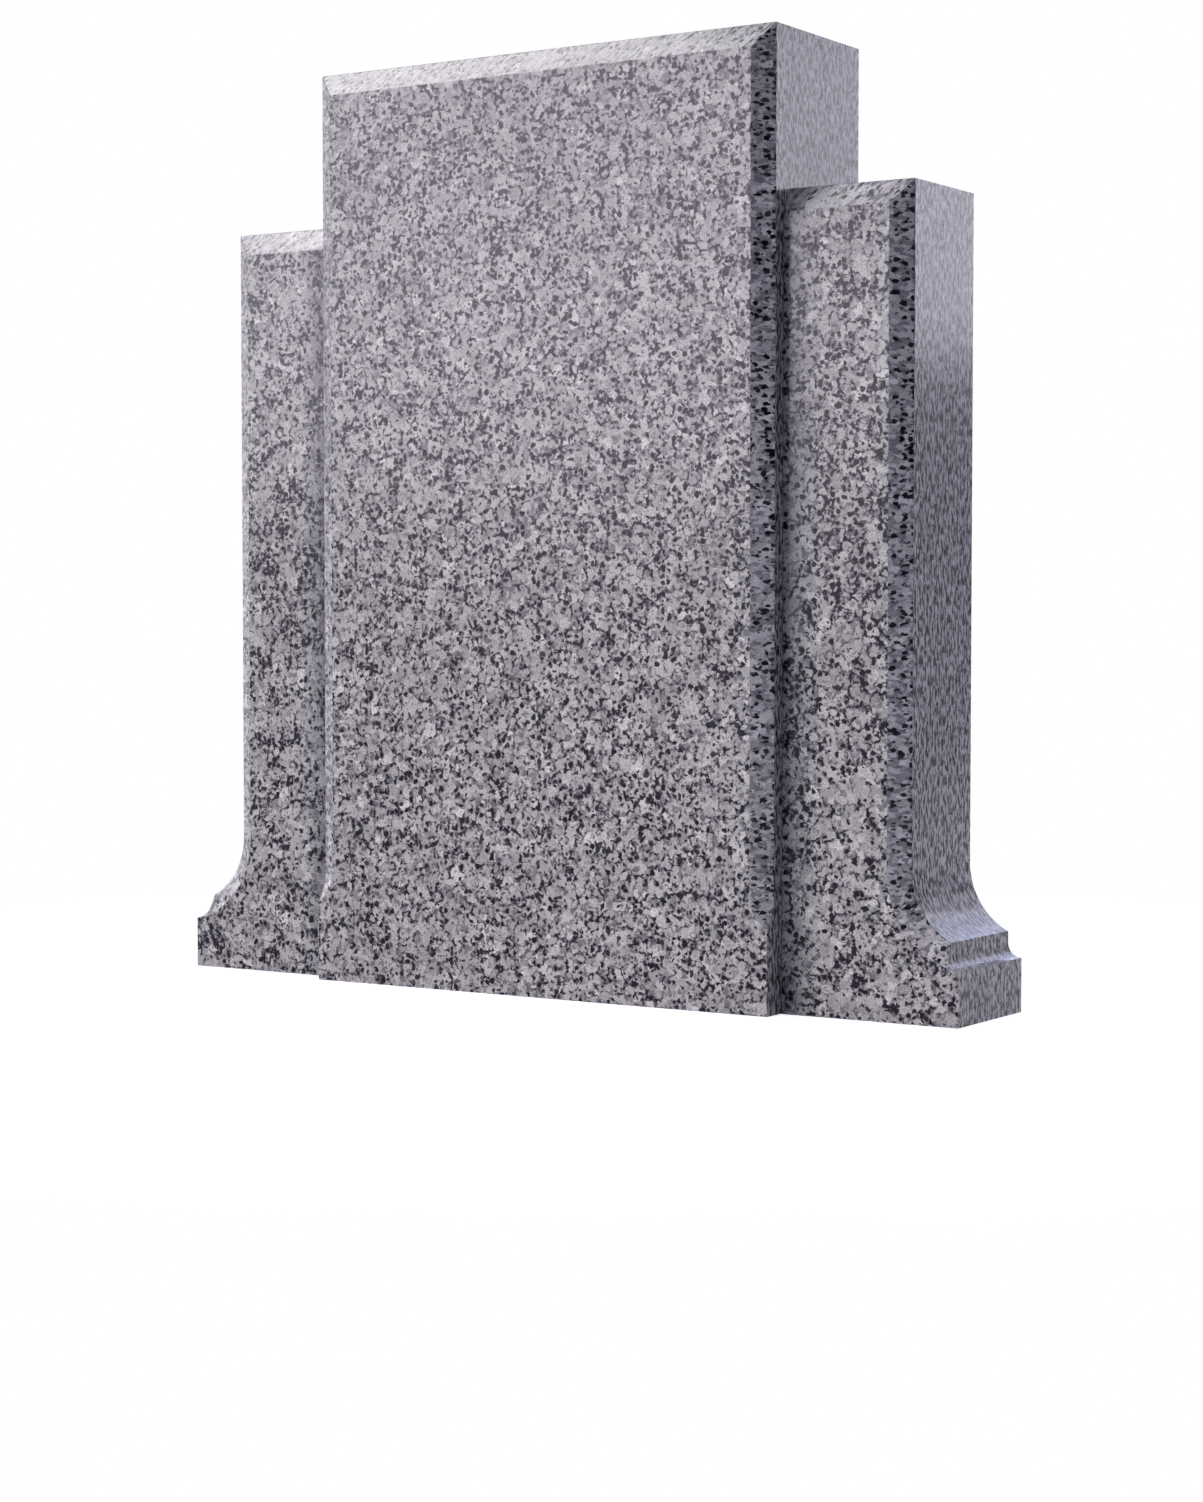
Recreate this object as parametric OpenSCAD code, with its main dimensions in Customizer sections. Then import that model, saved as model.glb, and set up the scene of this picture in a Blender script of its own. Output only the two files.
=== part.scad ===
// Upright granite headstone: a tall middle tablet with a lower wing butted to each side of it.
// The wings stand back from the tablet at the front and at the rear. Each wing's outer side sweeps
// out through two coves to a square block at the foot. X runs along the width, the face looks
// along -Y, and the ground is Z = 0 with the origin under the middle of the tablet.

/* [Tablet] */
// Width of the tablet
tablet_w = 460; // [300:5:700]
// Height of the tablet
tablet_h = 800; // [650:5:1200]
// Thickness of the tablet
tablet_d = 152; // [110:2:250]

/* [Wings] */
// Width of a wing above its foot mouldings
wing_w = 113; // [80:1:250]
// Height of a wing
wing_h = 670; // [300:5:1000]
// How far a wing's face stands back from the tablet's face
front_recess = 23; // [5:1:40]
// How far a wing's rear stands in from the tablet's rear
rear_recess = 12; // [0:1:40]

/* [Foot mouldings] */
// Height of the square block at the foot of a wing
block_h = 45; // [20:1:120]
// Radius of the small cove that rises from the block
small_cove_r = 12; // [6:1:20]
// Height of the upright fillet between the two coves
fillet_h = 9; // [4:1:30]
// Radius of the large cove
large_cove_r = 62; // [50:1:100]
// How far the large cove sweeps out from the wing's side
large_cove_reach = 35; // [15:1:48]

/* [Bevels] */
// Width of the bevel on the face, along a top edge
top_bevel_w = 20; // [6:1:30]
// Width of the bevel on the face, down a side edge
side_bevel_w = 17; // [6:1:30]
// Depth of every bevel, from the face into the stone
bevel_d = 11; // [4:1:20]
// Height above the ground at which the tablet's side bevels end
stop_z = 69; // [20:1:150]
// Length of the curved run-out at the end of those bevels
stop_len = 25; // [15:1:60]
// Angle in degrees at which the run-out leaves the bevel
stop_angle = 6; // [1:0.5:8]

/* [Hidden] */
$fn = 96;

wing_d = tablet_d - front_recess - rear_recess;
wing_face_y = front_recess - tablet_d / 2;
wing_side_x = tablet_w / 2 + wing_w;
foot_x = wing_side_x + large_cove_reach + small_cove_r;
fillet_z = block_h + small_cove_r;
cove_foot_z = fillet_z + fillet_h;
cove_rise = sqrt(2 * large_cove_r * large_cove_reach - pow(large_cove_reach, 2));
cove_top_z = cove_foot_z + cove_rise;
cove_centre_x = wing_side_x + large_cove_r;

// Length of the sloping line that the side bevel makes in plan, and how deep the corner lies under it
bevel_slope = sqrt(pow(side_bevel_w, 2) + pow(bevel_d, 2));
corner_depth = side_bevel_w * bevel_d / bevel_slope;
// The run-out is an arc from the bevel to the corner, and its chord leaves the bevel at chord_angle
chord_angle = atan2(corner_depth, stop_len);
stop_r = sqrt(pow(stop_len, 2) + pow(corner_depth, 2)) / (2 * sin(chord_angle - stop_angle));
stop_centre_z = stop_z + stop_len + stop_r * sin(stop_angle);

// What a straight side bevel takes off an upright edge, over length z. The edge is at x = 0, y = 0,
// with the stone towards -X and +Y.
module edge_bevel(z) {
    linear_extrude(z)
        polygon([[-2 * side_bevel_w, -bevel_d], [side_bevel_w, -bevel_d], [side_bevel_w, 2 * bevel_d]]);
}

// What the bevel takes off a top front edge, over length x. The edge is at y = 0, z = 0.
module top_bevel(x) {
    translate([-x / 2, 0, 0]) rotate([90, 0, 90]) linear_extrude(x)
        polygon([[-bevel_d, -2 * top_bevel_w], [-bevel_d, top_bevel_w], [2 * bevel_d, top_bevel_w]]);
}

// The whole bevel of the tablet's right-hand edge, which runs out in a curve above the ground
module tablet_side_bevel() {
    translate([tablet_w / 2, -tablet_d / 2, 0]) intersection() {
        edge_bevel(2 * tablet_h);
        union() {
            translate([-tablet_w / 2, -tablet_d, stop_centre_z]) cube([tablet_w, 2 * tablet_d, tablet_h]);
            translate([-side_bevel_w / 2, bevel_d / 2, stop_centre_z])
                rotate([0, 0, atan2(bevel_d, side_bevel_w)]) translate([0, -stop_r * cos(stop_angle), 0])
                rotate([0, 90, 0]) cylinder(r = stop_r, h = 2 * bevel_slope, center = true);
        }
    }
}

module tablet() {
    color("gainsboro") difference() {
        translate([-tablet_w / 2, -tablet_d / 2, 0]) cube([tablet_w, tablet_d, tablet_h]);
        translate([0, -tablet_d / 2, tablet_h]) top_bevel(2 * tablet_w);
        tablet_side_bevel();
        mirror([1, 0, 0]) tablet_side_bevel();
    }
}

// Outline of the right-hand wing, seen from the front
module wing_outline() {
    difference() {
        union() {
            translate([tablet_w / 2, 0]) square([wing_w, wing_h]);
            translate([tablet_w / 2, 0]) square([foot_x - tablet_w / 2, fillet_z]);
            translate([tablet_w / 2, 0]) square([foot_x - small_cove_r - tablet_w / 2, cove_top_z]);
        }
        translate([foot_x, fillet_z]) circle(r = small_cove_r);
        translate([cove_centre_x, cove_top_z]) circle(r = large_cove_r);
    }
}

// The side bevel of the right-hand wing: straight down to the cove, then swept round it as a cone
module wing_side_bevel() {
    translate([wing_side_x, 0, cove_top_z]) edge_bevel(wing_h);
    intersection() {
        translate([cove_centre_x, 0, cove_top_z]) rotate([-90, 0, 0])
            cylinder(r1 = large_cove_r + side_bevel_w, r2 = large_cove_r, h = bevel_d);
        translate([tablet_w / 2, -bevel_d, 0]) cube([foot_x, 3 * bevel_d, cove_top_z]);
    }
}

// The right-hand wing; the left-hand one is its mirror image
module wing() {
    translate([0, wing_face_y, 0]) difference() {
        translate([0, wing_d, 0]) rotate([90, 0, 0]) linear_extrude(wing_d) wing_outline();
        translate([wing_side_x, 0, wing_h]) top_bevel(4 * foot_x);
        wing_side_bevel();
    }
}

module right_wing() {
    color("silver") wing();
}

module left_wing() {
    color("lightgray") mirror([1, 0, 0]) wing();
}

tablet();
left_wing();
right_wing();
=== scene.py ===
import math

import bmesh
import bpy
from mathutils import Matrix, Vector


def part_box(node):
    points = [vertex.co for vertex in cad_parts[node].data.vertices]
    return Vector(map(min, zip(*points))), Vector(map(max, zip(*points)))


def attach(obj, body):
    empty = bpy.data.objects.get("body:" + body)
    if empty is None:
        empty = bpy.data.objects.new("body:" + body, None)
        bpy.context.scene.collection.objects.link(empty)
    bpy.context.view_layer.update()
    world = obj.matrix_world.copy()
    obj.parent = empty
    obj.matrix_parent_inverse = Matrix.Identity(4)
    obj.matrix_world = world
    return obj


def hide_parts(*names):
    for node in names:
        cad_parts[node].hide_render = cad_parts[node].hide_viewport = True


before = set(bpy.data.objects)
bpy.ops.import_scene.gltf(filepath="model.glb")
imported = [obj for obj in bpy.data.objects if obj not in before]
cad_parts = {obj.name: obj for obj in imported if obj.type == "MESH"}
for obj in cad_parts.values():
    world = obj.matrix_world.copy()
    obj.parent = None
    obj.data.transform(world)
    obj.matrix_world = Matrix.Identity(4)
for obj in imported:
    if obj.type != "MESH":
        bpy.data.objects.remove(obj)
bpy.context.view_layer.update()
scene = bpy.context.scene
scene.view_settings.view_transform = "Standard"
print("frame loaded")


class Wire:  # a node's socket that can be used in sums
    def __init__(self, net, socket):
        self.net = net
        self.socket = socket

    def __add__(self, other):
        return self.net.maths("ADD", self, other)

    def __radd__(self, other):
        return self.net.maths("ADD", other, self)

    def __sub__(self, other):
        return self.net.maths("SUBTRACT", self, other)

    def __rsub__(self, other):
        return self.net.maths("SUBTRACT", other, self)

    def __mul__(self, other):
        return self.net.maths("MULTIPLY", self, other)

    def __rmul__(self, other):
        return self.net.maths("MULTIPLY", other, self)

    def __truediv__(self, other):
        return self.net.maths("DIVIDE", self, other)

    def __rtruediv__(self, other):
        return self.net.maths("DIVIDE", other, self)

    def __neg__(self):
        return self.net.maths("MULTIPLY", self, -1.0)

    def __lt__(self, other):
        return self.net.maths("LESS_THAN", self, other)


class Net:  # a node tree, and what adds nodes to it
    def __init__(self, tree):
        self.tree = tree

    def add(self, kind, settings=None, inputs=None, out=0):  # out is one output, or a tuple of them
        node = self.tree.nodes.new(kind)
        for key, value in (settings or {}).items():
            setattr(node, key, value)
        for key, value in (inputs or {}).items():
            self.feed(node.inputs[key], value)
        if isinstance(out, tuple):
            return [Wire(self, node.outputs[key]) for key in out]
        return Wire(self, node.outputs[out])

    def feed(self, socket, value):
        if isinstance(value, list):
            for wire in value:
                self.tree.links.new(wire.socket, socket)
        elif isinstance(value, Wire):
            self.tree.links.new(value.socket, socket)
        else:
            socket.default_value = value

    def split(self, vector):
        return self.add("ShaderNodeSeparateXYZ", None, {0: vector}, out=(0, 1, 2))

    def maths(self, operation, *values):
        return self.add("ShaderNodeMath", {"operation": operation}, dict(enumerate(values)))

    def vector(self, x, y, z):
        return self.add("ShaderNodeCombineXYZ", None, {0: x, 1: y, 2: z})

    def vectors(self, operation, *values):
        return self.add("ShaderNodeVectorMath", {"operation": operation}, dict(enumerate(values)))

    def enlarge(self, vector, factor):
        return self.add("ShaderNodeVectorMath", {"operation": "SCALE"}, {0: vector, "Scale": factor})

    def smooth(self, value, low, high):  # 0 below low, 1 above high, eased between
        return self.add(
            "ShaderNodeMapRange",
            {"interpolation_type": "SMOOTHSTEP"},
            {"Value": value, "From Min": low, "From Max": high},
        )

    def blend(self, factor, first, second, way="MIX"):  # two colours
        return self.add(
            "ShaderNodeMix",
            {"data_type": "RGBA", "blend_type": way},
            {"Factor": factor, 6: first, 7: second},
            out=2,
        )


def sawnBlock(name, outline, frontY, rearY):  # a closed prism; the outline is seen from the front
    bm = bmesh.new()
    front = [bm.verts.new((x, frontY, z)) for x, z in outline]
    rear = [bm.verts.new((x, rearY, z)) for x, z in outline]
    bm.faces.new(front)
    bm.faces.new(list(reversed(rear)))
    count = len(outline)
    for i in range(count):
        j = (i + 1) % count
        bm.faces.new((front[j], front[i], rear[i], rear[j]))
    bmesh.ops.recalc_face_normals(bm, faces=bm.faces)
    mesh = bpy.data.meshes.new(name)
    bm.to_mesh(mesh)
    bm.free()
    mesh.materials.append(graniteFinish)
    stone = bpy.data.objects.new(name, mesh)
    scene.collection.objects.link(stone)
    return stone


def newCuttingTree(name, sizes):  # every size is a named input of the tree
    tree = bpy.data.node_groups.new(name, "GeometryNodeTree")
    tree.interface.new_socket("Stone", in_out="INPUT", socket_type="NodeSocketGeometry")
    for size in sizes:
        tree.interface.new_socket(size, in_out="INPUT", socket_type="NodeSocketFloat")
    tree.interface.new_socket("Finish", in_out="INPUT", socket_type="NodeSocketMaterial")
    tree.interface.new_socket("Stone", in_out="OUTPUT", socket_type="NodeSocketGeometry")
    net = Net(tree)
    names = ("Stone", *sizes, "Finish")
    ports = dict(zip(names, net.add("NodeGroupInput", out=names)))
    return net, ports


def finishTree(net, ports, stone):
    merged = net.add("GeometryNodeMergeByDistance", None, {"Geometry": stone, "Distance": 1e-6})
    real = net.add("GeometryNodeRealizeInstances", None, {"Geometry": merged})
    done = net.add("GeometryNodeSetMaterial", None, {"Geometry": real, "Material": ports["Finish"]})
    net.add("NodeGroupOutput", None, {0: done}, out=())
    return net.tree


def placed(net, shape, place=(0.0, 0.0, 0.0), turn=(0.0, 0.0, 0.0)):
    return net.add(
        "GeometryNodeTransform",
        None,
        {"Geometry": shape, "Translation": place, "Rotation": turn},
    )


def wheel(net, radius, depth):
    return net.add(
        "GeometryNodeMeshCylinder",
        None,
        {"Vertices": facets, "Radius": radius, "Depth": depth},
    )


def block(net, low, high):  # a box from its two corners
    size = net.vectors("SUBTRACT", high, low)
    cube = net.add("GeometryNodeMeshCube", None, {"Size": size})
    return placed(net, cube, net.enlarge(net.vectors("ADD", low, high), 0.5))


def bar(net, width, depth, low, high, corner):
    # What a straight bevel takes off an upright edge at corner. The stone lies towards -X and +Y,
    # and the cutter is larger than what it takes off.
    slope = net.maths("SQRT", width * width + depth * depth)
    turn = -net.maths("ARCTAN2", width, depth)
    thick = 2.0 * slope
    cube = net.add("GeometryNodeMeshCube", None, {"Size": net.vector(thick, 4.0 * slope, high - low)})
    x = -0.5 * width + depth
    y = 0.5 * depth - width
    place = net.vectors("ADD", corner, net.vector(x, y, 0.5 * (low + high)))
    return placed(net, cube, place, net.vector(0.0, 0.0, turn))


def cut(net, stone, cutters):
    return net.add(
        "GeometryNodeMeshBoolean",
        {"operation": "DIFFERENCE", "solver": "EXACT"},
        {"Mesh 1": stone, "Mesh 2": cutters},
    )


def common(net, parts):
    return net.add(
        "GeometryNodeMeshBoolean",
        {"operation": "INTERSECT", "solver": "EXACT"},
        {"Mesh 2": parts},
    )


def mirrored(net, shape):
    flipped = net.add(
        "GeometryNodeTransform",
        None,
        {"Geometry": shape, "Scale": (-1.0, 1.0, 1.0)},
    )
    return net.add("GeometryNodeFlipFaces", None, {"Mesh": flipped})


def topBar(net, width, depth, length, faceY, topZ, x):  # the same cutter laid along a top front edge
    upright = bar(net, width, depth, -0.5 * length, 0.5 * length, (0.0, 0.0, 0.0))
    laid = placed(net, upright, turn=(0.0, math.radians(-90.0), 0.0))
    return placed(net, laid, net.vector(x, faceY, topZ))


def runTree(stone, tree, sizes, finish):
    modifier = stone.modifiers.new("cutting", "NODES")
    modifier.node_group = tree
    for item in tree.interface.items_tree:
        if item.in_out == "INPUT" and item.name in sizes:
            modifier[item.identifier] = float(sizes[item.name])
        if item.in_out == "INPUT" and item.name == "Finish":
            modifier[item.identifier] = finish
    makePlain(stone)


def makePlain(stone):  # leaves what the modifiers give as a plain mesh
    graph = bpy.context.evaluated_depsgraph_get()
    graph.update()
    mesh = bpy.data.meshes.new_from_object(stone.evaluated_get(graph), depsgraph=graph)
    stone.modifiers.clear()
    stone.data = mesh


facets = 192  # of a full circle

# the tablet is a sawn block, cut by bevels with curved stops
tabletSizes = {
    "Top bevel": 0.020,
    "Side bevel": 0.017,
    "Bevel depth": 0.011,
    "Stop height": 0.069,  # where the side bevels end above the ground
    "Stop length": 0.025,
    "Stop angle": math.radians(6.0),
}


def tabletTree():
    names = [*tabletSizes, "Half width", "Height", "Face"]
    net, port = newCuttingTree("tablet cutting", names)
    w, d = port["Side bevel"], port["Bevel depth"]
    halfWidth, height, face = port["Half width"], port["Height"], port["Face"]
    slope = net.maths("SQRT", w * w + d * d)
    cornerDepth = w * d / slope
    length, angle = port["Stop length"], port["Stop angle"]
    chord = net.maths("ARCTAN2", cornerDepth, length)
    reach = net.maths("SQRT", length * length + cornerDepth * cornerDepth)
    radius = reach / (2.0 * net.maths("SINE", chord - angle))
    centreZ = port["Stop height"] + length + radius * net.maths("SINE", angle)
    corner = net.vector(halfWidth, face, 0.0)
    upper = bar(net, w, d, centreZ, 2.0 * height, corner)
    lower = bar(net, w, d, -0.1 * height, centreZ, corner)
    away = radius * net.maths("COSINE", angle) / slope
    wheelX = halfWidth - 0.5 * w + away * d
    wheelY = face + 0.5 * d - away * w
    turn = net.vector(0.0, math.radians(90.0), net.maths("ARCTAN2", d, w))
    rim = placed(net, wheel(net, radius, 3.0 * slope), net.vector(wheelX, wheelY, centreZ), turn)
    runOut = common(net, [lower, rim])
    top = topBar(net, port["Top bevel"], d, 4.0 * halfWidth, face, height, 0.0)
    stone = cut(net, port["Stone"], [top, upper, runOut, mirrored(net, upper), mirrored(net, runOut)])
    return finishTree(net, port, stone)


# a wing is a stepped block, cut by two coves and by bevels that follow its outline
wingSizes = {
    "Top bevel": 0.020,
    "Side bevel": 0.017,
    "Bevel depth": 0.011,
    "Block height": 0.045,
    "Small cove": 0.012,  # radius
    "Fillet": 0.009,
    "Large cove": 0.062,  # radius
    "Cove reach": 0.035,
}


def coveLines():  # the heights and places that the coves of the right wing run between
    size = wingSizes
    rise = math.sqrt(2.0 * size["Large cove"] * size["Cove reach"] - size["Cove reach"] ** 2)
    smallZ = size["Block height"] + size["Small cove"]
    footZ = smallZ + size["Fillet"]
    filletX = wingHigh.x - size["Small cove"]
    return filletX, filletX - size["Cove reach"], smallZ, footZ, footZ + rise


def wingTree():
    names = [*wingSizes, "Foot x", "Height", "Face", "Depth"]
    net, port = newCuttingTree("wing cutting", names)
    w, d = port["Side bevel"], port["Bevel depth"]
    foot, height, face, depth = port["Foot x"], port["Height"], port["Face"], port["Depth"]
    small, large, reach = port["Small cove"], port["Large cove"], port["Cove reach"]
    sideX = foot - small - reach
    smallZ = port["Block height"] + small
    rise = net.maths("SQRT", 2.0 * large * reach - reach * reach)
    largeZ = smallZ + port["Fillet"] + rise
    middleY = face + 0.5 * depth
    upset = (math.radians(90.0), 0.0, 0.0)  # turns an upright shape to lie from front to rear
    hollows = []
    for radius, x, z in ((small, foot, smallZ), (large, sideX + large, largeZ)):
        hollow = wheel(net, radius, 3.0 * depth)
        hollows.append(placed(net, hollow, net.vector(x, middleY, z), upset))
    straight = bar(net, w, d, largeZ, 2.0 * height, net.vector(sideX, face, 0.0))
    cone = net.add(
        "GeometryNodeMeshCone",
        None,
        {"Vertices": facets, "Radius Top": large + 2.0 * w, "Radius Bottom": large, "Depth": 2.0 * d},
    )
    swung = placed(net, cone, net.vector(sideX + large, face + d, largeZ), upset)
    low = net.vector(sideX - 3.0 * w, face - 3.0 * d, -0.1 * height)
    high = net.vector(2.0 * foot, face + 3.0 * d, largeZ + 0.3 * w)  # runs a little into the straight cut
    swept = common(net, [swung, block(net, low, high)])
    top = topBar(net, port["Top bevel"], d, 4.0 * foot, face, height, foot)
    carved = cut(net, port["Stone"], hollows)
    stone = cut(net, carved, [top, straight, swept])
    return finishTree(net, port, stone)


arris = {
    "width": 0.0007,
    "steps": 2,
    "least angle": math.radians(18.0),  # a blunter edge stays as it is
    "weld": 2e-6,
    "level angle": math.radians(0.3),  # faces that turn less than this are joined
    "thin share": 0.2,  # of the width, at the tip where the small cove runs into the block
    "thin reach": 0.02,  # that tip's size, inwards from the foot's end
    "thin depth": 0.0018,
    "thin rise": (-0.001, 0.0048),
    "flat face": 0.001,  # square metres, above which a face is shaded flat
    "same turn": 0.7,  # cosine between faces that share their shading
}


def isThinTip(place):
    reach = wingHigh.x - abs(place.x)
    low, high = arris["thin rise"]
    rise = place.z - wingSizes["Block height"]
    return reach < arris["thin reach"] and place.y < wingLow.y + arris["thin depth"] and low < rise < high


def roundArrises(stone):  # a fine round along every sharp edge
    mesh = stone.data
    bm = bmesh.new()
    bm.from_mesh(mesh)
    bmesh.ops.remove_doubles(bm, verts=bm.verts, dist=arris["weld"])
    bmesh.ops.dissolve_limit(bm, angle_limit=arris["level angle"], verts=bm.verts, edges=bm.edges)
    bmesh.ops.recalc_face_normals(bm, faces=bm.faces)
    weight = bm.edges.layers.float.new("bevel_weight_edge")
    for edge in bm.edges:
        if len(edge.link_faces) == 2 and edge.calc_face_angle(0.0) > arris["least angle"]:
            isThin = any(isThinTip(vertex.co) for vertex in edge.verts)
            edge[weight] = arris["thin share"] if isThin else 1.0
    for face in bm.faces:
        face.smooth = True
    bm.to_mesh(mesh)
    bm.free()
    rounding = stone.modifiers.new("arrises", "BEVEL")
    rounding.limit_method = "WEIGHT"
    rounding.width = arris["width"]
    rounding.segments = arris["steps"]
    rounding.use_clamp_overlap = False
    rounding.loop_slide = False
    rounding.miter_outer = "MITER_ARC"
    makePlain(stone)
    settleNormals(stone.data)


def settleNormals(mesh):  # flat faces shade flat, and the rounds between them turn from one to the next
    around = [[] for vertex in mesh.vertices]
    for face in mesh.polygons:
        for index in face.vertices:
            around[index].append((face.normal.copy(), face.area))
    normals = []
    for face in mesh.polygons:
        if face.area > arris["flat face"]:
            normals.extend([face.normal.copy()] * len(face.vertices))
            continue
        for index in face.vertices:
            total = Vector()
            for normal, area in around[index]:
                if normal.dot(face.normal) > arris["same turn"]:
                    total += normal * area
            normals.append(total.normalized())
    mesh.normals_split_custom_set(normals)


graniteFinish = bpy.data.materials.new("polished granite")
graniteFinish.use_nodes = True

tabletLow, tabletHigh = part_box("tablet")
tablet = sawnBlock(
    "tabletStone",
    [
        (tabletLow.x, tabletLow.z),
        (tabletHigh.x, tabletLow.z),
        (tabletHigh.x, tabletHigh.z),
        (tabletLow.x, tabletHigh.z),
    ],
    tabletLow.y,
    tabletHigh.y,
)
runTree(
    tablet,
    tabletTree(),
    {**tabletSizes, "Half width": tabletHigh.x, "Height": tabletHigh.z, "Face": tabletLow.y},
    graniteFinish,
)
print("tablet cut")

wingLow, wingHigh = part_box("right_wing")
filletX, sideX, smallZ, footZ, largeZ = coveLines()
rightWing = sawnBlock(
    "rightWingStone",
    [
        (wingLow.x, 0.0),
        (wingHigh.x, 0.0),
        (wingHigh.x, smallZ),
        (filletX, smallZ),
        (filletX, largeZ),
        (sideX, largeZ),
        (sideX, wingHigh.z),
        (wingLow.x, wingHigh.z),
    ],
    wingLow.y,
    wingHigh.y,
)
runTree(
    rightWing,
    wingTree(),
    {
        **wingSizes,
        "Foot x": wingHigh.x,
        "Height": wingHigh.z,
        "Face": wingLow.y,
        "Depth": wingHigh.y - wingLow.y,
    },
    graniteFinish,
)
leftWing = bpy.data.objects.new("leftWingStone", rightWing.data.copy())
scene.collection.objects.link(leftWing)
leftWing.data.transform(Matrix.Scale(-1.0, 4, (1.0, 0.0, 0.0)))
leftWing.data.flip_normals()
print("wings cut")
for stone in (tablet, rightWing, leftWing):
    roundArrises(stone)
print("arrises rounded")


# how the crystals lie on each surface
grainRules = {
    "bevel draw": 0.92,  # below 1 draws crystals out across a side bevel
    "bevel fineness": 1.25,
    "top draw": 2.2,  # times longer along the diagonal of a top bevel
    "top fineness": 2.1,  # times smaller across that diagonal
    "right top fineness": 1.5,
    "top slice": 0.5,  # which slice of the pattern the top bevels show
    "side draw": 2.6,  # times longer down the sides
    "side fineness": 1.6,
    "side slice": 0.7,
    "face turn": 0.93,  # how far a normal points forwards on a face, and on a bevel
    "bevel turn": 0.35,
    "rear turn": 0.5,
    "level turn": 0.9,  # how far a normal points up on a level top, and on a top bevel
    "top bevel turn": 0.3,
    "top strip": 0.022,  # a top bevel lies within this of the top
}


def outlineWay(x, z):  # distance down a wing's outer side, through the coves
    size = wingSizes
    radius = size["Large cove"]
    if z >= largeZ:
        return z
    if z >= footZ:
        return largeZ - radius * math.atan2(largeZ - z, sideX + radius - x)
    way = largeZ - radius * math.atan2(largeZ - footZ, radius - size["Cove reach"])
    if z >= smallZ:
        return way - (footZ - z)
    way -= size["Fillet"]
    if z >= size["Block height"]:
        return way - size["Small cove"] * math.atan2(smallZ - z, wingHigh.x - x)
    return way - size["Small cove"] * 0.5 * math.pi - (size["Block height"] - z)


def bevelPlace(place, isWing, faceY):  # crystals run on from the face, drawn out across the bevel
    draw = grainRules["bevel draw"]
    side = math.copysign(1.0, place.x)
    x = abs(place.x)
    edge = sideX - wingSizes["Side bevel"] if isWing else tabletHigh.x - tabletSizes["Side bevel"]
    if not isWing or place.z >= largeZ:
        return Vector((side * (edge + (x - edge) * draw), faceY, place.z))
    radius = wingSizes["Large cove"]
    reach = Vector((x - sideX - radius, 0.0, place.z - largeZ))
    outer = radius + wingSizes["Side bevel"]
    spot = reach.normalized() * (outer - (outer - reach.length) * draw)
    return Vector((side * (sideX + radius + spot.x), faceY, largeZ + spot.z))


def bevelReach(place, isWing, faceY):  # 0.5 where a side bevel leaves the face, 1.5 at its outer edge
    depth = wingSizes["Bevel depth"] if isWing else tabletSizes["Bevel depth"]
    return 0.5 + (place.y - faceY) / depth


def surfaceOf(face, topZ):
    forwards, up = -face.normal.y, face.normal.z
    isRear = -forwards > grainRules["rear turn"]
    if forwards > grainRules["face turn"] or isRear or abs(up) > grainRules["level turn"]:
        return "face"
    if forwards <= grainRules["bevel turn"]:
        return "side"
    isHigh = face.center.z > topZ - grainRules["top strip"]
    return "top bevel" if up > grainRules["top bevel turn"] and isHigh else "side bevel"


def topPlace(place, isWing, faceY, topZ):  # crystals lie along the diagonal of a top bevel
    down = math.hypot(place.y - faceY, place.z - topZ + tabletSizes["Top bevel"])
    along = (place.x + down) * math.sqrt(0.5)
    across = (down - place.x) * math.sqrt(0.5)
    isRight = isWing and place.x > 0.0
    fine = grainRules["right top fineness" if isRight else "top fineness"]
    return Vector((along * fine / grainRules["top draw"], grainRules["top slice"], across * fine))


def sidePlace(place, isWing):  # crystals are drawn out down the sides
    way = outlineWay(abs(place.x), place.z) if isWing else place.z
    fine = grainRules["side fineness"]
    depth = math.copysign(grainRules["side slice"], place.x)
    return Vector((depth, place.y * fine, way * fine / grainRules["side draw"]))


def layGrain(stone, isWing, low, high):
    mesh = stone.data
    mesh.attributes.new("grain", "FLOAT_VECTOR", "CORNER")
    mesh.attributes.new("surface", "FLOAT_VECTOR", "CORNER")  # side bevel, top bevel, sawn side
    grain, surface = mesh.attributes["grain"], mesh.attributes["surface"]
    for face in mesh.polygons:
        where = surfaceOf(face, high.z)
        for corner in face.loop_indices:
            place = mesh.vertices[mesh.loops[corner].vertex_index].co
            spot, kind = place, (0.0, 0.0, 0.0)
            if where == "top bevel":
                spot, kind = topPlace(place, isWing, low.y, high.z), (0.0, 1.0, 0.0)
            elif where == "side bevel":
                spot = bevelPlace(place, isWing, low.y)
                spot.z *= grainRules["bevel fineness"]
                kind = (bevelReach(place, isWing, low.y), 0.0, 0.0)
            elif where == "side":
                spot, kind = sidePlace(place, isWing), (0.0, 0.0, 1.0)
            grain.data[corner].vector = spot
            surface.data[corner].vector = kind


layGrain(tablet, False, tabletLow, tabletHigh)
layGrain(rightWing, True, wingLow, wingHigh)
layGrain(leftWing, True, wingLow, wingHigh)
print("crystals laid out")


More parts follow.
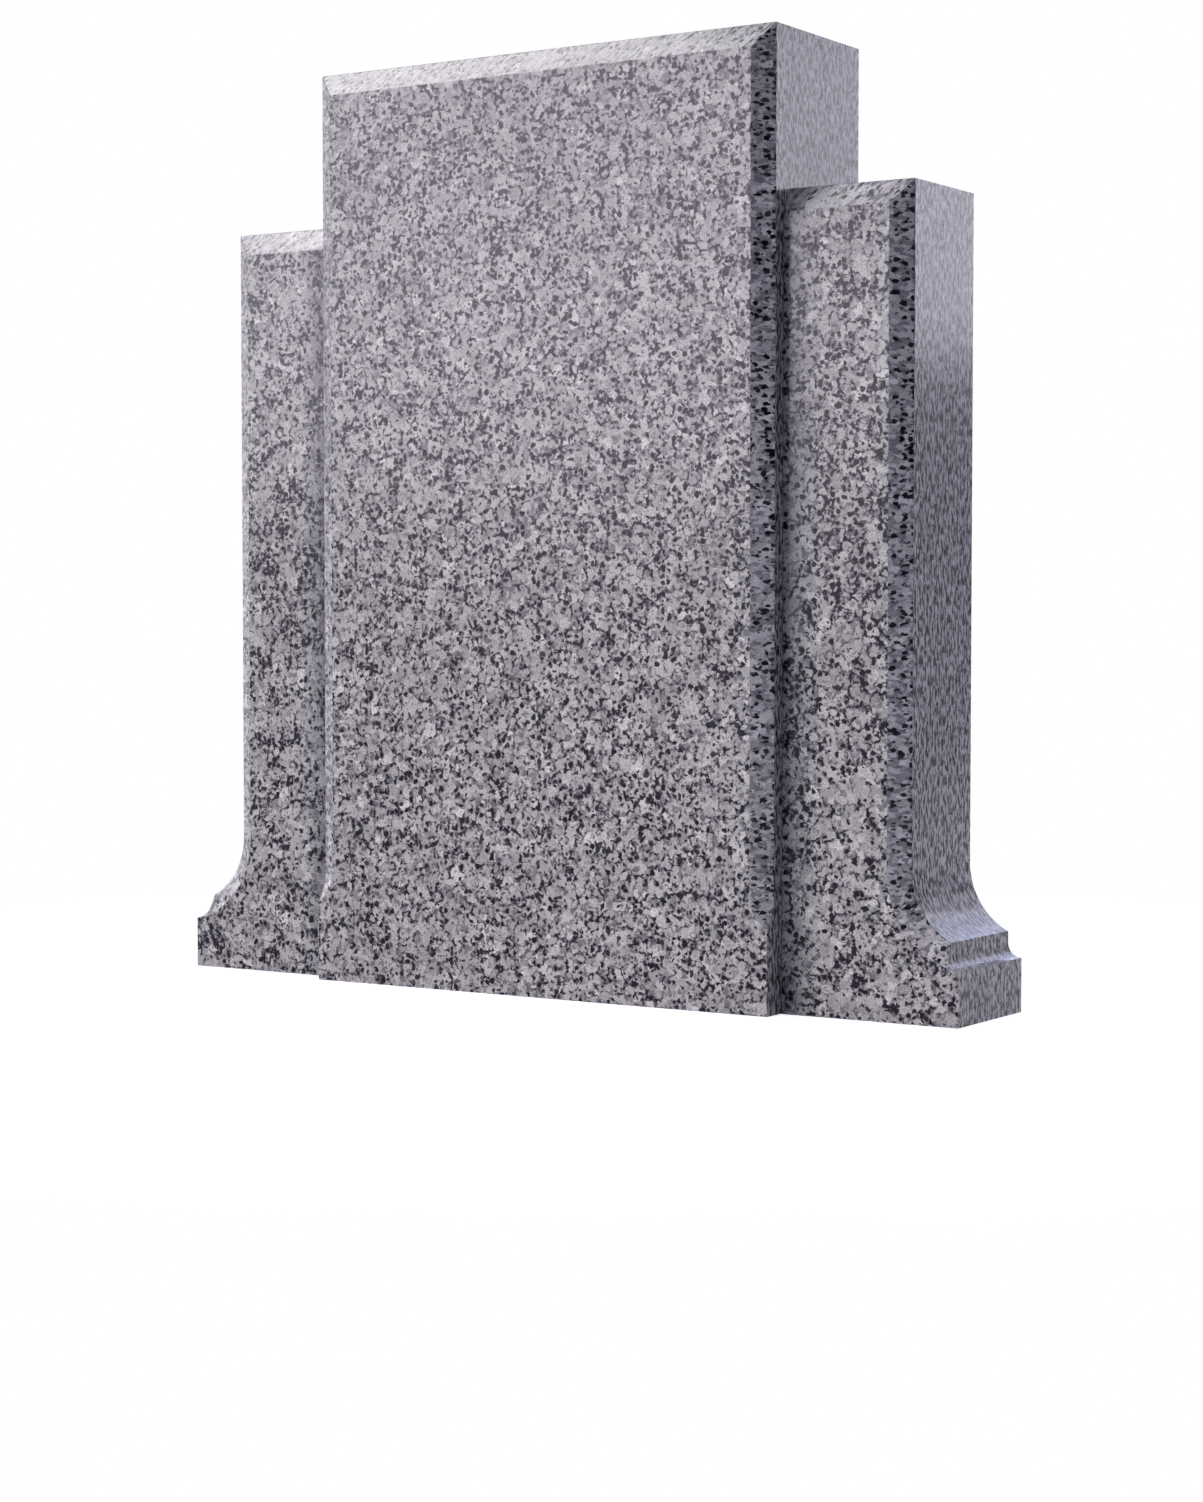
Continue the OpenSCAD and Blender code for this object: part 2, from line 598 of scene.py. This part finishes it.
# Polished granite. Sizes are in millimetres, shares and levels from 0 to 1 unless noted, and the
# tones multiply the colour: painted shade on some parts, painted light on others.
granite = {
    "feldspar": 8.7,  # crystal sizes
    "quartz": 4.0,
    "mica": 5.37,
    "speck": 3.82,
    "zone": 15,  # where dark minerals gather
    "blob": 4.2,  # dark smudges between crystals
    "grit": 0.95,
    "grain": 0.92,
    "cloud": 60.0,
    "streak": 5.0,
    "light": (0.520, 0.493, 0.500, 1.0),  # feldspar, from light to pale
    "pale": (0.340, 0.321, 0.333, 1.0),
    # a few crystals lighter still, partly their own colour and partly painted glint
    "bright": (0.60, 0.57, 0.575, 1.0),
    "grey": (0.125, 0.115, 0.138, 1.0),  # quartz
    "dark": (0.092, 0.081, 0.108, 1.0),  # smudges
    "black": (0.004, 0.001, 0.009, 1.0),  # mica and specks
    "sawn": (0.235, 0.220, 0.240, 1.0),  # the sides, where the grain is drawn out and flecks blur
    "lean way": (0.7, 0.0, 0.7),  # crystals are a little longer along this diagonal
    "lean": 0.25,
    "coarse warp": (5.0, 4.5),  # size of the waves that bend the crystals' outlines, and their push
    "middle warp": (2.6, 2.2),
    "fine warp": (1.2, 1.0),
    "noise gain": 7.0,  # brings noise to steps of its usual spread
    "bright share": 0.05,
    "quartz share": 0.20,
    "bevel quartz": 0.25,  # more quartz on the side bevels
    "quartz depth": 0.5,
    "quartz range": 0.4,
    "quartz edge": 0.02,
    "mica share": 0.27,
    "mica reach": 0.446,  # how much of its cell a fleck fills
    "mica seed": (31.0, 17.0, 43.0),
    "speck share": 0.21,
    "speck reach": 0.385,
    "speck seed": (7.0, 71.0, 13.0),
    "speck depth": 0.5,
    "fleck edge": 0.03,
    "choice edge": 0.01,
    "crowding": 0.149,  # how much flecks gather in zones
    "outer flecks": 0.35,  # more flecks along a bevel's outer edge
    "left flecks": 1.6,  # and fewer there on the left, as part of the left bevels' painted sheen
    "bevel calm": 0.9,  # how free of smudges a side bevel and a top bevel are
    "top calm": 0.7,
    "calm depth": 1.4,
    "calm seams": 0.5,
    "blob weight": 0.8,
    "zone weight": 0.45,
    "seam weight": 1.1,
    "seam width": 0.19,
    "seam level": 0.25,
    "grit weight": 0.35,
    "smudge level": 0.54,
    "smudge fade": 0.15,
    "smudge depth": 0.6,
    "clot grit": 0.25,
    "clot level": 1.12,
    "clot fade": 0.15,
    "fleck fade": 0.08,
    "streak fade": 0.42,
    "sawn share": 0.8,
    "grain depth": 0.62,
    "side grain": 0.6,  # how much of that the sides and the side bevels lose
    "bevel grain": 0.4,
    "grit depth": 0.136,
    "cloud depth": 0.3,
    # painted shade: the side bevels darker and bluer than the face
    "bevel shade": (0.80, 0.825, 0.90, 1.0),
    # painted sheen: the left side bevels lighter than the right
    "left sheen": (1.20, 1.20, 1.26, 1.0),
    "stop painted light": (1.48, 1.48, 1.52, 1.0),  # painted light: the left bevel's curved stop lighter
    "stop rise": (0.120, 0.085),  # metres above the ground, as the next one
    "cove painted light": (1.30, 1.30, 1.34, 1.0),  # painted light: lighter where a wing's bevel sweeps round the cove and turns up
    "cove rise": (0.115, 0.075),
    "right sheen": (1.36, 1.36, 1.40, 1.0),  # painted sheen: the right-hand end of the top bevels lighter
    "right end": (0.05, 0.18),  # metres from the middle
    "right inner shade": (0.075, 0.02),  # metres from the joint, where the painted bevel shade comes back on the top bevel next to the tablet
    "corner shade": (0.38, 0.39, 0.46, 1.0),  # painted shade: the inner corner where a wing meets the tablet darker
    # how much less of the painted corner shade the sawn sides take
    "corner side": 0.55,
    "corner reach": (0.041, 0.0005),  # how far the painted corner shade reaches, in metres from the joint
    "corner inside": (-0.0008, -0.0003),
    "corner front": (-0.0125, -0.011),  # metres from the wing's face
    "corner rear": (0.002, 0.001),
    "corner top": (0.002, -0.015),  # metres from the wing's top
    "at joint": (-0.0005, 0.0005),
    "on tablet": (0.001, 0.0),
    "on wing": (0.0, 0.001),
    "roughness": 0.20,
    "grit roughness": 0.015,
    "fleck roughness": 0.05,
    "shine": 0.135,
    "relief": 0.00004,  # metres
    "relief strength": 0.25,
    "grit relief": 0.2,
}


def makeGranite(material, look):
    net = Net(material.node_tree)
    material.node_tree.nodes.clear()
    grain = net.add("ShaderNodeAttribute", {"attribute_name": "grain"}, out=1)
    surface = net.add("ShaderNodeAttribute", {"attribute_name": "surface"}, out=1)

    def noise(vector, size, detail=2.0, rough=0.5, out=0):
        return net.add(
            "ShaderNodeTexNoise",
            {"noise_dimensions": "3D"},
            {"Vector": vector, "Scale": 1.0 / size, "Detail": detail, "Roughness": rough},
            out=out,
        )

    def cells(vector, size, feature="F1", out=1):
        return net.add(
            "ShaderNodeTexVoronoi",
            {"voronoi_dimensions": "3D", "feature": feature},
            {"Vector": vector, "Scale": 1.0 / size},
            out=out,
        )

    def chances(vector, size):  # three numbers from 0 to 1 for each cell
        return net.add("ShaderNodeSeparateColor", None, {0: cells(vector, size)}, out=(0, 1, 2))

    def warped(vector, waves):
        size, amount = waves
        push = net.vectors("SUBTRACT", noise(vector, size, out=1), (0.5, 0.5, 0.5))
        return net.vectors("ADD", vector, net.enlarge(push, amount))

    def level(value):
        return (value - 0.5) * look["noise gain"]

    def fade(value, start, span):  # from 0 to 1 between two distances from start
        return net.smooth(value, start + span[0], start + span[1])

    # where a point lies
    reach, onTop, onSide = net.split(surface)
    onBevel = net.maths("MINIMUM", reach * 2.0, 1.0)
    calm = net.maths("MINIMUM", look["bevel calm"] * onBevel + look["top calm"] * onTop + onSide, 1.0)
    x, y, z = net.split(net.add("ShaderNodeTexCoord", out=3))
    # the left side bevels, which carry painted sheen
    onLeft = onBevel * (x < 0.0)
    across = net.maths("ABSOLUTE", x)
    joint, faceY, topZ = tabletHigh.x, wingLow.y, wingHigh.z
    # painted shade in the recess where the tablet's edge shades the wing
    corner = fade(across, joint, look["corner reach"]) * fade(across, joint, look["corner inside"])
    corner = corner * fade(y, faceY, look["corner front"]) * fade(y, faceY, look["corner rear"])
    corner = corner * fade(z, topZ, look["corner top"])
    # painted light on the left bevel's curved stop
    stop = onLeft * net.smooth(z, *look["stop rise"]) * fade(across, joint, look["on tablet"])
    # painted light where a wing's bevel sweeps round the cove
    cove = onBevel * net.smooth(z, *look["cove rise"]) * fade(across, joint, look["on wing"])
    # painted shade on the top bevel next to the joint, where the tablet shades it
    inner = onTop * fade(x, joint, look["right inner shade"]) * fade(x, joint, look["at joint"])

    # the crystals' coordinates in millimetres, and the noises that shape them
    mm = net.enlarge(grain, 1000.0)
    along = net.vectors("DOT_PRODUCT", mm, look["lean way"])
    mm = net.vectors("SUBTRACT", mm, net.enlarge(look["lean way"], look["lean"] * along))
    coarse = warped(mm, look["coarse warp"])
    fine = warped(warped(coarse, look["middle warp"]), look["fine warp"])
    zone = level(noise(mm, look["zone"], 1.0))
    blob = level(noise(coarse, look["blob"], 1.0))
    grit = level(noise(mm, look["grit"], 2.0, 0.6))
    cloud = noise(mm, look["cloud"], 2.0)

    def flecks(kind):  # a share of the cells holds one rounded crystal each
        size, radius, share = look[kind], look[kind + " reach"], look[kind + " share"]
        place = net.vectors("ADD", fine, look[kind + " seed"])
        pick = chances(place, size)
        span = cells(place, size, out=0)
        outer = look["outer flecks"] * (onBevel - look["left flecks"] * onLeft) * (reach - 0.5)
        choice = pick[0] - look["crowding"] * zone - outer
        chosen = net.smooth(choice, share + look["choice edge"], share - look["choice edge"])
        return chosen * net.smooth(span, radius + look["fleck edge"], radius - look["fleck edge"]), pick[1]

    feldspar = chances(fine, look["feldspar"])
    edge = cells(fine, look["feldspar"], "DISTANCE_TO_EDGE", out=0)
    quartz = chances(fine, look["quartz"])
    grains = chances(fine, look["grain"])
    mica, micaTone = flecks("mica")
    speck, speckTone = flecks("speck")

    # feldspar, then quartz
    colour = net.blend(feldspar[0], look["pale"], look["light"])
    # a few crystals lighter still, partly painted glint
    isBright = net.smooth(
        feldspar[1],
        1.0 - look["bright share"],
        1.0 - look["bright share"] + look["choice edge"],
    )
    colour = net.blend(isBright, colour, look["bright"])
    share = look["quartz share"] + look["bevel quartz"] * onBevel
    isQuartz = net.smooth(quartz[1], share + look["quartz edge"], share - look["quartz edge"])
    depth = look["quartz depth"] + look["quartz range"] * quartz[2]
    colour = net.blend(isQuartz * depth, colour, look["grey"])

    # smudges along the seams, then the black flecks
    seam = net.smooth(edge, look["seam width"], 0.0)
    base = look["blob weight"] * blob + look["zone weight"] * zone
    seams = look["seam weight"] * (1.0 - look["calm seams"] * calm) * (seam - look["seam level"])
    base = base + seams - look["calm depth"] * calm
    smudge = fade(base + look["grit weight"] * grit, look["smudge level"], (0.0, look["smudge fade"]))
    clot = fade(base + look["clot grit"] * grit, look["clot level"], (0.0, look["clot fade"]))
    specks = speck * (1.0 - look["speck depth"] + look["speck depth"] * speckTone)
    isBlack = net.maths("MAXIMUM", net.maths("MAXIMUM", mica, clot), specks)
    depth = look["smudge depth"] + (1.0 - look["smudge depth"]) * quartz[0]
    colour = net.blend(smudge * depth, colour, look["dark"])
    colour = net.blend(isBlack * (1.0 - look["fleck fade"] * micaTone), colour, look["black"])

    # the sawn sides' streaks
    streaks = level(noise(mm, look["streak"], 2.5, 0.6))
    streaks = net.smooth(streaks, -look["streak fade"], look["streak fade"])
    sawn = net.enlarge(look["sawn"][:3], 2.0 * streaks)
    colour = net.blend(onSide * look["sawn share"], colour, sawn)

    # fine grain, and the tone of each surface: painted shade on the side bevels, on the top bevel by the
    # joint and in the joint corner, and painted light on the left bevels, the stop, the coves' bevels and
    # the right end of the top bevels
    grainShare = 1.0 - look["side grain"] * onSide - look["bevel grain"] * onBevel
    speckle = 1.0 + grainShare * look["grain depth"] * (grains[0] - 0.5)
    speckle = speckle + look["grit depth"] * grit + look["cloud depth"] * (cloud - 0.5)
    tone = net.blend(onBevel, (1.0, 1.0, 1.0, 1.0), look["bevel shade"])
    tone = net.blend(onLeft, tone, look["left sheen"])
    tone = net.blend(stop, tone, look["stop painted light"])
    tone = net.blend(cove, tone, look["cove painted light"])
    # painted sheen on the right-hand end of the top bevels
    tone = net.blend(onTop * net.smooth(x, *look["right end"]), tone, look["right sheen"])
    tone = net.blend(inner, tone, look["bevel shade"])
    tone = net.blend(corner * (1.0 - look["corner side"] * onSide), tone, look["corner shade"])
    colour = net.blend(1.0, colour, net.enlarge(tone, speckle), "MULTIPLY")

    relief = net.add(
        "ShaderNodeBump",
        None,
        {
            "Strength": look["relief strength"],
            "Distance": look["relief"],
            "Height": look["grit relief"] * grit - isBlack,
        },
    )
    roughness = look["roughness"] + look["grit roughness"] * grit + look["fleck roughness"] * isBlack
    shader = net.add(
        "ShaderNodeBsdfPrincipled",
        None,
        {
            "Base Color": colour,
            "Roughness": roughness,
            "IOR": 1.5,
            "Specular IOR Level": look["shine"],
            "Normal": relief,
        },
    )
    net.add("ShaderNodeOutputMaterial", None, {"Surface": shader}, out=())


makeGranite(graniteFinish, granite)
for stone, node in ((tablet, "tablet"), (leftWing, "left_wing"), (rightWing, "right_wing")):
    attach(stone, "root")
    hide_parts(node)
print("granite laid")


# floor, light and camera
studio = {
    "floor": 6.0,  # half width
    "floor colour": (0.85, 0.85, 0.87, 1.0),
    "floor glow": 0.80,
    "floor bounce": (0.775, 0.770, 0.840, 1.0),  # what the floor throws back on the stone
    "bare floor": (0.50, 1.05),  # the glow hides all shading between these distances from the middle
    "fill": (0.183, 0.183, 0.224, 1.0),
    "aim": (0.0, 0.0, 0.4),
    "card step": 5,  # degrees
    "card foot": 0.01,
    "card height": 2.3,
    "pale card": (100, 210, 3.0),  # first and last azimuth, distance
    "dark card": (5, 65, 3.3),
    "card low": (0.58, 0.59, 0.70, 1.0),
    "card high": (1.05, 1.07, 1.22, 1.0),
    "card rise": (0.52, 0.95),
    "card top": (2.55, 2.70, 3.70, 1.0),  # the part that the cove of the right foot reflects
    "top end": (1.15, 0.85),
    "top rise": (0.45, 0.80),
    "card dark": (0.02, 0.02, 0.03, 1.0),
}


def shownRays(net):
    seen, *others = net.add(
        "ShaderNodeLightPath",
        out=("Is Camera Ray", "Is Glossy Ray", "Is Transmission Ray"),
    )
    for ray in others:
        seen = net.maths("MAXIMUM", seen, ray)
    return seen


def studioMaterial(name):
    material = bpy.data.materials.new(name)
    material.use_nodes = True
    material.node_tree.nodes.clear()
    return material, Net(material.node_tree)


def makeFloor():
    bm = bmesh.new()
    bmesh.ops.create_grid(bm, x_segments=8, y_segments=8, size=studio["floor"])
    mesh = bpy.data.meshes.new("studioFloor")
    bm.to_mesh(mesh)
    bm.free()
    floor = bpy.data.objects.new("studioFloor", mesh)
    scene.collection.objects.link(floor)
    material, net = studioMaterial("pale floor")
    matt = net.add("ShaderNodeBsdfDiffuse", None, {"Color": studio["floor colour"]})
    glow = net.add("ShaderNodeEmission", None, {"Color": (1, 1, 1, 1), "Strength": studio["floor glow"]})
    bounce = net.add("ShaderNodeBsdfDiffuse", None, {"Color": studio["floor bounce"]})
    near = net.add("ShaderNodeAddShader", None, {0: matt, 1: glow})
    white = net.add("ShaderNodeEmission", None, {"Color": (1, 1, 1, 1), "Strength": 1.0})
    place = net.add("ShaderNodeTexCoord", out=3)
    reach = net.add("ShaderNodeVectorMath", {"operation": "LENGTH"}, {0: place}, out=1)
    isFar = net.smooth(reach, *studio["bare floor"])
    both = net.add("ShaderNodeMixShader", None, {0: isFar, 1: near, 2: white})
    picked = net.add("ShaderNodeMixShader", None, {0: shownRays(net), 1: bounce, 2: both})
    net.add("ShaderNodeOutputMaterial", None, {"Surface": picked}, out=())
    mesh.materials.append(material)


def makeWorld():
    world = bpy.data.worlds.new("studio")
    scene.world = world
    world.use_nodes = True
    net = Net(world.node_tree)
    net.tree.nodes.clear()
    fill = net.add("ShaderNodeBackground", None, {"Color": studio["fill"], "Strength": 1.0})
    white = net.add("ShaderNodeBackground", None, {"Color": (1, 1, 1, 1), "Strength": 1.0})
    picked = net.add("ShaderNodeMixShader", None, {0: shownRays(net), 1: fill, 2: white})
    net.add("ShaderNodeOutputWorld", None, {"Surface": picked}, out=())


# Soft boxes: azimuth in degrees from straight in front of the face, positive to the viewer's
# right, and rise in degrees. A sheen box shows only in the polish, and the others only light.
white = (1.0, 1.0, 1.0)
cool = (0.88, 0.88, 1.0)
softBoxes = {
    "keyBox": {"azimuth": -42.0, "rise": 4.5, "distance": 5.0, "size": (3.2, 1.9), "glow": 4.8},
    "lowBox": {"azimuth": -4.0, "rise": -22.0, "distance": 0.80, "size": (1.7, 0.16), "glow": 3.2},
    "lowRightBox": {"azimuth": 25.0, "rise": -20.0, "distance": 0.90, "size": (1.2, 0.16), "glow": 1.4},
    "lowRearBox": {
        "azimuth": 112.0,
        "rise": -29.0,
        "distance": 0.75,
        "size": (0.50, 0.08),
        "glow": 2.2,
        "tint": (0.82, 0.84, 1.0),
    },
    "rearBox": {
        "azimuth": 140.0,
        "rise": 20.0,
        "distance": 3.2,
        "size": (2.0, 1.8),
        "glow": 2.1,
        "tint": cool,
    },
    "keySheen": {
        "azimuth": -43.0,
        "rise": 26.2,
        "distance": 3.1,
        "size": (2.9, 2.6),
        "glow": 12.0,
        "tint": (0.95, 0.90, 1.0),
        "sheen": True,
    },
    "rearSheen": {
        "azimuth": 140.0,
        "rise": 19.1,
        "distance": 1.35,
        "size": (0.60, 0.45),
        "glow": 4.4,
        "tint": cool,
        "sheen": True,
    },
    "edgeSheen": {
        "azimuth": -89.5,
        "rise": 12.0,
        "distance": 2.5,
        "size": (1.0, 1.4),
        "glow": 1.7,
        "tint": (0.94, 0.92, 1.0),
        "sheen": True,
    },
    "highSheen": {
        "azimuth": -63.5,
        "rise": 52.5,
        "distance": 3.0,
        "size": (0.80, 0.84),
        "glow": 24.5,
        "tint": (0.99, 0.965, 1.0),
        "sheen": True,
    },
    "wingSheen": {
        "azimuth": -46.0,
        "rise": 56.0,
        "distance": 3.0,
        "size": (0.46, 0.60),
        "glow": 11.0,
        "tint": (0.99, 0.965, 1.0),
        "sheen": True,
    },
}


def addSoftBox(name, azimuth, rise, distance, size, glow, tint=white, sheen=False):
    turn, lift = math.radians(azimuth), math.radians(rise)
    way = Vector((math.sin(turn) * math.cos(lift), -math.cos(turn) * math.cos(lift), math.sin(lift)))
    lamp = bpy.data.lights.new(name, "AREA")
    lamp.shape = "RECTANGLE"
    lamp.size, lamp.size_y = size
    lamp.energy = glow * math.pi * size[0] * size[1]
    lamp.color = tint
    light = bpy.data.objects.new(name, lamp)
    light.location = Vector(studio["aim"]) + way * distance
    light.rotation_euler = (-way).to_track_quat("-Z", "Y").to_euler()
    light.visible_camera = False
    light.visible_diffuse = not sheen
    light.visible_glossy = sheen
    scene.collection.objects.link(light)


def bentCard(name, bend, paint):  # a card bent round the stone, which only the polish sees
    first, last, reach = bend
    bm = bmesh.new()
    low, high = [], []
    for azimuth in range(first, last + 1, studio["card step"]):
        turn = math.radians(azimuth)
        x, y = reach * math.sin(turn), -reach * math.cos(turn)
        low.append(bm.verts.new((x, y, studio["card foot"])))
        high.append(bm.verts.new((x, y, studio["card height"])))
    for i in range(len(low) - 1):
        bm.faces.new((low[i + 1], low[i], high[i], high[i + 1]))
    mesh = bpy.data.meshes.new(name)
    bm.to_mesh(mesh)
    bm.free()
    card = bpy.data.objects.new(name, mesh)
    scene.collection.objects.link(card)
    material, net = studioMaterial(name)
    glow = net.add("ShaderNodeEmission", None, {"Color": paint(net), "Strength": 1.0})
    net.add("ShaderNodeOutputMaterial", None, {"Surface": glow}, out=())
    mesh.materials.append(material)
    card.visible_camera = False
    card.visible_diffuse = False
    card.visible_shadow = False


def paleTone(net):
    x, y, z = net.split(net.add("ShaderNodeTexCoord", out=3))
    tone = net.blend(net.smooth(z, *studio["card rise"]), studio["card low"], studio["card high"])
    isTop = net.smooth(x, *studio["top end"]) * net.smooth(z, *studio["top rise"])
    return net.blend(isTop, tone, studio["card top"])


def darkTone(net):
    return studio["card dark"]


makeFloor()
makeWorld()
for name, box in softBoxes.items():
    addSoftBox(name, **box)
bentCard("paleCard", studio["pale card"], paleTone)
bentCard("darkCard", studio["dark card"], darkTone)
print("studio lit")

view = {"place": (1.4265, -2.1800, 0.3290), "turn": 32.80, "tilt": -2.68, "lens": 71.93}
lens = bpy.data.cameras.new("view")
lens.sensor_width = 36.0
lens.lens = view["lens"]
lens.clip_start = 0.05
camera = bpy.data.objects.new("view", lens)
camera.location = view["place"]
camera.rotation_euler = (math.radians(90.0 + view["tilt"]), 0.0, math.radians(view["turn"]))
scene.collection.objects.link(camera)
scene.camera = camera
print("camera placed")
